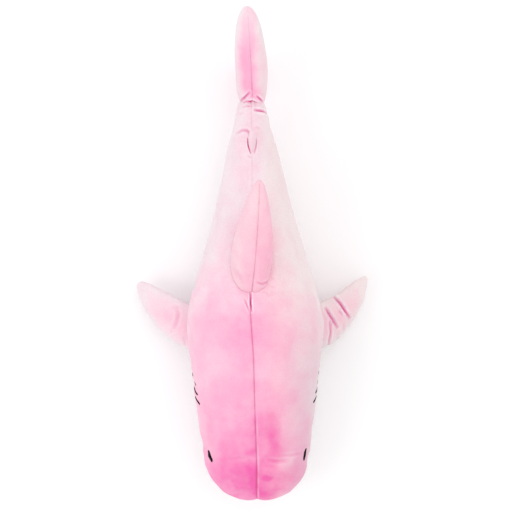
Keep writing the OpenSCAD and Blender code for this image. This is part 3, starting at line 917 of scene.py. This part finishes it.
for side, label, word in ((1, "Left", "left"), (-1, "Right", "right")):
    threadMesh(f"eye{label}", [eyePad(side)], finish["eye"], [f"eye_{word}"], "torso")
    bars = [barPad(barLine(side, k), embroidery["barWidth"]) for k in range(embroidery["barCount"])]
    threadMesh(f"gillBars{label}", bars, finish["dark"], [f"gill_bars_{word}"], "torso")
mouthPads = [barPad(mouthLine(), embroidery["mouthWidth"])]
threadMesh("mouthLine", mouthPads, finish["dark"], ["mouth_line"], "torso")

closing = {"count": 12, "at": 0.470, "pitch": 0.009, "lean": 0.003, "reach": 1.6, "thread": 0.0006}
loops = []
for k in range(closing["count"]):
    f = np.linspace(-1, 1, 14)
    d = closing["at"] + k * closing["pitch"] + (f + 1) * closing["lean"] / 2
    phi = seam + f * closing["reach"]
    path = onSkin(d, phi, 0.0004 + 0.0008 * (1 - f ** 4))
    way = unit(np.gradient(path, axis=0))
    side1 = unit(np.cross(way, onSkin(d, phi, f * 0 + 1) - onSkin(d, phi, f * 0)))
    side2 = np.cross(way, side1)
    a = np.linspace(0, 2 * math.pi, 9)[:-1]
    radius = closing["thread"] * np.sqrt(np.clip(1 - f ** 8, 0.1, 1))[:, None, None]
    across = np.cos(a)[None, :, None] * side1[:, None] + np.sin(a)[None, :, None] * side2[:, None]
    loops.append(path[:, None] + radius * across)
stitches = threadMesh("closingStitches", loops, finish["seam"], ["closing_stitches"])
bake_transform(stitches)
print("embroidery made")


# fins
def finPoints(fin, s, a):
    # s runs from the root to the tip, or from tip to tip, and below 0 inside the body;
    # a is in degrees round the section
    s, a = np.asarray(s, float), np.radians(np.asarray(a, float))
    inside = np.clip(-s, 0, None)
    t = np.clip(s, 0, 1)
    reach = 2 * t - 1 if fin["twoTips"] else t
    e = np.sqrt(np.clip(1 - np.abs(reach) ** fin["tipPower"], 0, 1))
    centre = bezier(fin["middle"], t) - np.outer(inside, fin["inward"])
    chord = bezier(fin["halfChord"], t) * e * (1 - 0.12 * inside)
    thick = bezier(fin["halfThick"], t) * e * (1 - 0.2 * inside)
    profile = np.sign(np.sin(a)) * np.abs(np.sin(a)) ** fin["blunt"] * (1 + fin["lead"] * np.cos(a))
    return (
        centre[:, None]
        - (chord[:, None] * np.cos(a))[..., None] * np.array(fin["chordWay"])
        + (thick[:, None] * profile)[..., None] * np.array(fin["thickWay"])
    )


def makeFin(fin, panels):
    # panels: (name, finish, slot, the CAD nodes it stands for)
    rows, columns = fin["rows"], fin["columns"]
    if fin["twoTips"]:
        s = (1 - np.cos(np.linspace(0, math.pi, rows))) / 2
    else:
        s = np.concatenate([np.linspace(-1, 0, 8)[:-1], 1 - (1 - np.linspace(0, 1, rows)) ** 2])
    half = denseEnds(columns, 0.6) * 180
    ring = np.concatenate([half[:-1], 180 + half[:-1]])
    p = finPoints(fin, s, ring)
    if "shape" in fin:
        p = fin["shape"](p, s)
    n = gridNormals(p)
    gap = seamDistance(p, [0, columns])
    shift, dark, light = creases(p, n, fin["folds"])
    shift += fin["lump"] * lumps(p, fin["lumpSize"], fin["seed"])
    ripple = lumps(p, fin["puckerSize"], fin["seed"] + 1)
    shift += fin["pucker"] * ripple * bell(gap, 0.014) * smooth(0, 0.003, gap)
    seamDepth = fin["seamDepth"] * (1 - 0.9 * smooth(*fin.get("seamFlat", (1, 2)), p[..., 1]))
    shift -= seamDepth * (bell(gap, fin["seamWidth"]) + 0.7 * bell(gap, 3.5 * fin["seamWidth"]))
    taper = smooth(0, 0.01, np.abs(s - 1))[:, None]
    if fin["twoTips"]:
        taper = taper * smooth(0, 0.01, s)[:, None]
    away = p + n * (shift * taper)[..., None]
    edge = np.broadcast_to(np.abs(np.cos(np.radians(ring))) ** 2, gap.shape)
    if not fin["twoTips"]:
        edge = np.maximum(edge, smooth(0.6, 1, s)[:, None])
    marks = {
        "restPlace": p,
        "trace": np.stack([edge, dark, bell(gap, 0.0012)], -1),
        # painted fold shade, then painted highlights on the fold lips
        "shine": np.stack([dark, light, dark * 0], -1),
    }
    for k, (name, look, slotName, nodes) in enumerate(panels):
        span = (k * columns, (k + 1) * columns)
        piece = panel(name, away, n, span, finish[look], marks, fin["hem"], (fin["twoTips"], True))
        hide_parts(*nodes)
        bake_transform(piece)


def leanOver(up, start, over, way, power=1.6):
    # a shape that leans more and more from start onwards
    def shape(p, s):
        t = np.clip((p @ np.array(up, float) - start) / over, 0, 1.3)
        return p + (t ** power)[..., None] * np.array(way)

    return shape


dorsalJoint = joints["dorsal_flop"]
dorsalFin = {
    "middle": [np.array(dorsalJoint["pos_m"]) - (0, 0, 0.003), (0, 0.055, 0.298), (0, 0.160, 0.345)],
    "halfChord": [0.070, 0.048, 0.028],
    "halfThick": [0.040, 0.040, 0.024],
    "chordWay": dorsalJoint["axis"],
    "thickWay": (1, 0, 0),
    "inward": (0, -0.004, 0.018),
    "tipPower": 3,
    "twoTips": False,
    "blunt": 0.85,
    "lead": 0.12,
    "rows": 90,
    "columns": 60,
    "lump": 0.0016,
    "lumpSize": 0.045,
    "pucker": 0.0010,
    "puckerSize": 0.010,
    "seamDepth": 0.0014,
    "seamWidth": 0.0020,
    "hem": 0.002,
    "seed": 21,
    "folds": [
        ([(0.004, -0.036), (0.016, -0.040), (0.030, -0.033)], 0.0022, 0.0024, 0.35),
        ([(-0.040, -0.010), (-0.030, -0.022), (-0.024, -0.040)], 0.0040, 0.0014, 0.10),
    ],
    # the root sits a little to the right and the tip leans to the left
    "rootAside": -0.0066,
    "lean": 0.0180,
    "start": (0, 0, 0.222),
    "end": (0, 0.01, 0.270),
    "fill": 0.7,
}
dorsalLean = leanOver((0, 0, 1), 0.215, 0.128, (dorsalFin["lean"], 0, 0), 1.3)
dorsalFin["shape"] = lambda p, s: dorsalLean(p, s) + (dorsalFin["rootAside"], 0, 0)
makeFin(
    dorsalFin,
    [
        (
            "dorsalPanelLeft", "dorsal", "fin_plush",
            ["dorsal_panel_left", "dorsal_stuffing", "dorsal_root_seam"],
        ),
        ("dorsalPanelRight", "dorsal", "fin_plush", ["dorsal_panel_right"]),
    ],
)

rearJoint = joints["rear_fin_flop"]
rearFin = {
    "middle": [np.array(rearJoint["pos_m"]) - (0, 0, 0.002), (0, 0.254, 0.191), (0, 0.273, 0.202)],
    "halfChord": [0.0175, 0.014, 0.009],
    "halfThick": [0.0070, 0.0070, 0.0052],
    "chordWay": rearJoint["axis"],
    "thickWay": (1, 0, 0),
    "inward": (0, -0.001, 0.008),
    "tipPower": 3,
    "twoTips": False,
    "blunt": 0.8,
    "lead": -0.45,
    "rows": 40,
    "columns": 26,
    "lump": 0.0005,
    "lumpSize": 0.012,
    "pucker": 0.0003,
    "puckerSize": 0.005,
    "seamDepth": 0.0006,
    "seamWidth": 0.0010,
    "hem": 0.0012,
    "seed": 31,
    "folds": [],
    "start": (0, 0.245, 0.176),
    "end": (0, 0.248, 0.188),
    "fill": 0.3,
}
rearFin["shape"] = lambda p, s: p + (-0.0024, 0, 0)
makeFin(
    rearFin,
    [
        (
            "rearFinPanelLeft", "rearFin", "fin_plush",
            ["rear_fin_panel_left", "rear_fin_stuffing", "rear_fin_root_seam"],
        ),
        ("rearFinPanelRight", "rearFin", "fin_plush", ["rear_fin_panel_right"]),
    ],
)

tailFin = {
    "middle": [(0, 0.432, 0.030), (0, 0.350, 0.078), (0, 0.345, 0.172), (0, 0.4995, 0.302)],
    "halfChord": [0.030, 0.060, 0.060, 0.024],
    "halfThick": [0.020, 0.033, 0.0345, 0.033],
    "chordWay": (0, 1, 0),
    "thickWay": (1, 0, 0),
    "inward": (0, 0, 0),
    "tipPower": 4.5,
    "twoTips": True,
    "blunt": 0.7,
    "lead": 0.0,
    "rows": 190,
    "columns": 60,
    "lump": 0.0015,
    "lumpSize": 0.050,
    "pucker": 0.0009,
    "puckerSize": 0.011,
    "seamDepth": 0.0013,
    "seamWidth": 0.0019,
    "seamFlat": (0.35, 0.42),  # between these places along the body the seam goes flat
    "hem": 0.002,
    "seed": 41,
    "folds": [
        # gathered where it is sewn to the tail
        ([(-0.0280, 0.3390), (-0.0170, 0.3430), (-0.0067, 0.3500)], 0.0018, 0.0026, 0.9),
        ([(0.0085, 0.3435), (0.0150, 0.3400), (0.0217, 0.3360)], 0.0018, 0.0026, 0.9),
        ([(-0.0160, 0.3345), (-0.0020, 0.3335), (0.0140, 0.3300)], 0.0024, 0.0034, 1.1),
        ([(-0.0240, 0.3310), (-0.0180, 0.3330)], 0.0016, 0.0016, 0.2),
    ],
    "start": (0, 0.325, 0.13),
    "end": (0, 0.375, 0.13),
    "fill": 0.8,
}
tailLean = leanOver((0, 1, 0), 0.33, 0.17, (-0.0080, 0, 0), 1.5)
tailFin["shape"] = lambda p, s: tailLean(p, s) + (-0.0010, 0, 0)
makeFin(
    tailFin,
    [
        ("tailFinPanelLeft", "tailFin", "fin_plush", ["tail_fin_panel_left", "tail_fin_stuffing"]),
        ("tailFinPanelRight", "tailFin", "fin_plush", ["tail_fin_panel_right"]),
    ],
)

sideFins = {
    "slope": 14,
    "rootX": 0.135,
    "rootHeight": 0.074,
    # the middle of each fin from root to tip, as seen from above
    "left": [(0.135, -0.136), (0.203, -0.112), (0.2455, -0.037)],
    "right": [(0.135, -0.136), (0.203, -0.110), (0.2560, -0.048)],
    "leftFolds": [
        ([(0.1685, -0.070), (0.1834, -0.086), (0.1942, -0.1035), (0.204, -0.117)], 0.0024, 0.0046, 1.0),
        ([(0.1510, -0.095), (0.1618, -0.113), (0.1767, -0.1371)], 0.0024, 0.0042, 0.9),
        ([(0.1600, -0.118), (0.1618, -0.148), (0.1565, -0.178)], 0.0020, 0.0030, 0.6),
        ([(0.1910, -0.128), (0.1912, -0.146)], 0.0024, 0.0016, 0.15),
        ([(0.1790, -0.101), (0.1870, -0.110)], 0.0016, 0.0014, 0.35),
        ([(0.1760, -0.150), (0.1740, -0.168)], 0.0030, 0.0014, 0.05),
    ],
    "rightFolds": [
        ([(-0.1740, -0.137), (-0.1670, -0.122), (-0.1630, -0.104), (-0.1660, -0.094)], 0.0034, 0.0024, 0.22),
        ([(-0.1780, -0.093), (-0.1690, -0.091), (-0.1600, -0.092)], 0.0030, 0.0014, 0.15),
        ([(-0.1536, -0.155), (-0.1500, -0.172)], 0.0020, 0.0016, 0.2),
        ([(-0.1790, -0.139), (-0.1800, -0.146)], 0.0018, 0.0014, 0.2),
    ],
}


def sideFin(side, word):
    slope = math.radians(sideFins["slope"])

    def at(x, y):
        return side * x, y, sideFins["rootHeight"] - (x - sideFins["rootX"]) * math.tan(slope)

    return {
        "middle": [at(*q) for q in sideFins[word]],
        "halfChord": [0.051, 0.050, 0.042],
        "halfThick": [0.020, 0.0175, 0.0120],
        "chordWay": (0, 1, 0),
        "thickWay": (side * math.sin(slope), 0, math.cos(slope)),
        "inward": (side * 0.026, 0, -0.002),
        "tipPower": 3.5,
        "twoTips": False,
        "blunt": 0.85,
        "lead": 0.12,
        "rows": 90,
        "columns": 60,
        "lump": 0.0014,
        "lumpSize": 0.035,
        "pucker": 0.0012,
        "puckerSize": 0.009,
        "seamDepth": 0.0012,
        "seamWidth": 0.0018,
        "hem": 0.002,
        "seed": 50 + side * 3,
        "folds": sideFins[word + "Folds"],
        "start": (side * 0.132, -0.136, 0.074),
        "end": (side * 0.165, -0.136, 0.067),
        "fill": 0.6,
    }


for side, word, label in ((1, "left", "Left"), (-1, "right", "Right")):
    upperNodes = [f"pectoral_{word}_{part}" for part in ("upper_panel", "stuffing", "root_seam")]
    makeFin(
        sideFin(side, word),
        [
            (f"pectoral{label}Upper", "sideFin", "fin_plush", upperNodes),
            (f"pectoral{label}Lower", "belly", "belly_plush", [f"pectoral_{word}_lower_panel"]),
        ],
    )
print("fins made")

# floor, light and camera
floorMaterial = bpy.data.materials.new("paleFloor")
floorMaterial.use_nodes = True
floorShader = floorMaterial.node_tree.nodes["Principled BSDF"]
floorShader.inputs["Base Color"].default_value = (0.98, 0.98, 0.98, 1)
floorShader.inputs["Roughness"].default_value = 0.9
floorMesh = bpy.data.meshes.new("floor")
floorMesh.from_pydata([(-6, -6, 0), (6, -6, 0), (6, 6, 0), (-6, 6, 0)], [], [(0, 1, 2, 3)])
floor = bpy.data.objects.new("floor", floorMesh)
floorMesh.materials.append(floorMaterial)
bpy.context.scene.collection.objects.link(floor)

studio = {"ambient": 0.95, "key": 6, "top": 9}


def softLight(name, place, size, power):
    data = bpy.data.lights.new(name, "AREA")
    data.shape = "DISK"
    data.size = size
    data.energy = power
    light = bpy.data.objects.new(name, data)
    light.location = place
    light.rotation_euler = (Vector((0, 0, 0.1)) - Vector(place)).to_track_quat("-Z", "Y").to_euler()
    bpy.context.scene.collection.objects.link(light)


world = bpy.data.worlds.new("studio")
world.use_nodes = True
world.node_tree.nodes["Background"].inputs["Color"].default_value = (1, 1, 1, 1)
world.node_tree.nodes["Background"].inputs["Strength"].default_value = studio["ambient"]
bpy.context.scene.world = world
softLight("keyLight", (-1.5, -0.6, 1.9), 1.2, studio["key"])
softLight("topLight", (0.6, 0.4, 2.7), 2.0, studio["top"])

view = {
    "height": 2.415,
    "across": 0.0036,
    "along": 0.017,
    "fieldWidth": 1.0803,
    "fieldAt": 2.3,
    "turn": -0.5,
}
cameraData = bpy.data.cameras.new("camera")
camera = bpy.data.objects.new("camera", cameraData)
cameraData.sensor_width = 36
cameraData.lens = 36 * view["fieldAt"] / view["fieldWidth"]
camera.location = (view["across"], view["along"], view["height"])
camera.rotation_euler = (0, 0, math.radians(view["turn"]))
bpy.context.scene.collection.objects.link(camera)
bpy.context.scene.camera = camera
bpy.context.scene.view_settings.view_transform = "Standard"
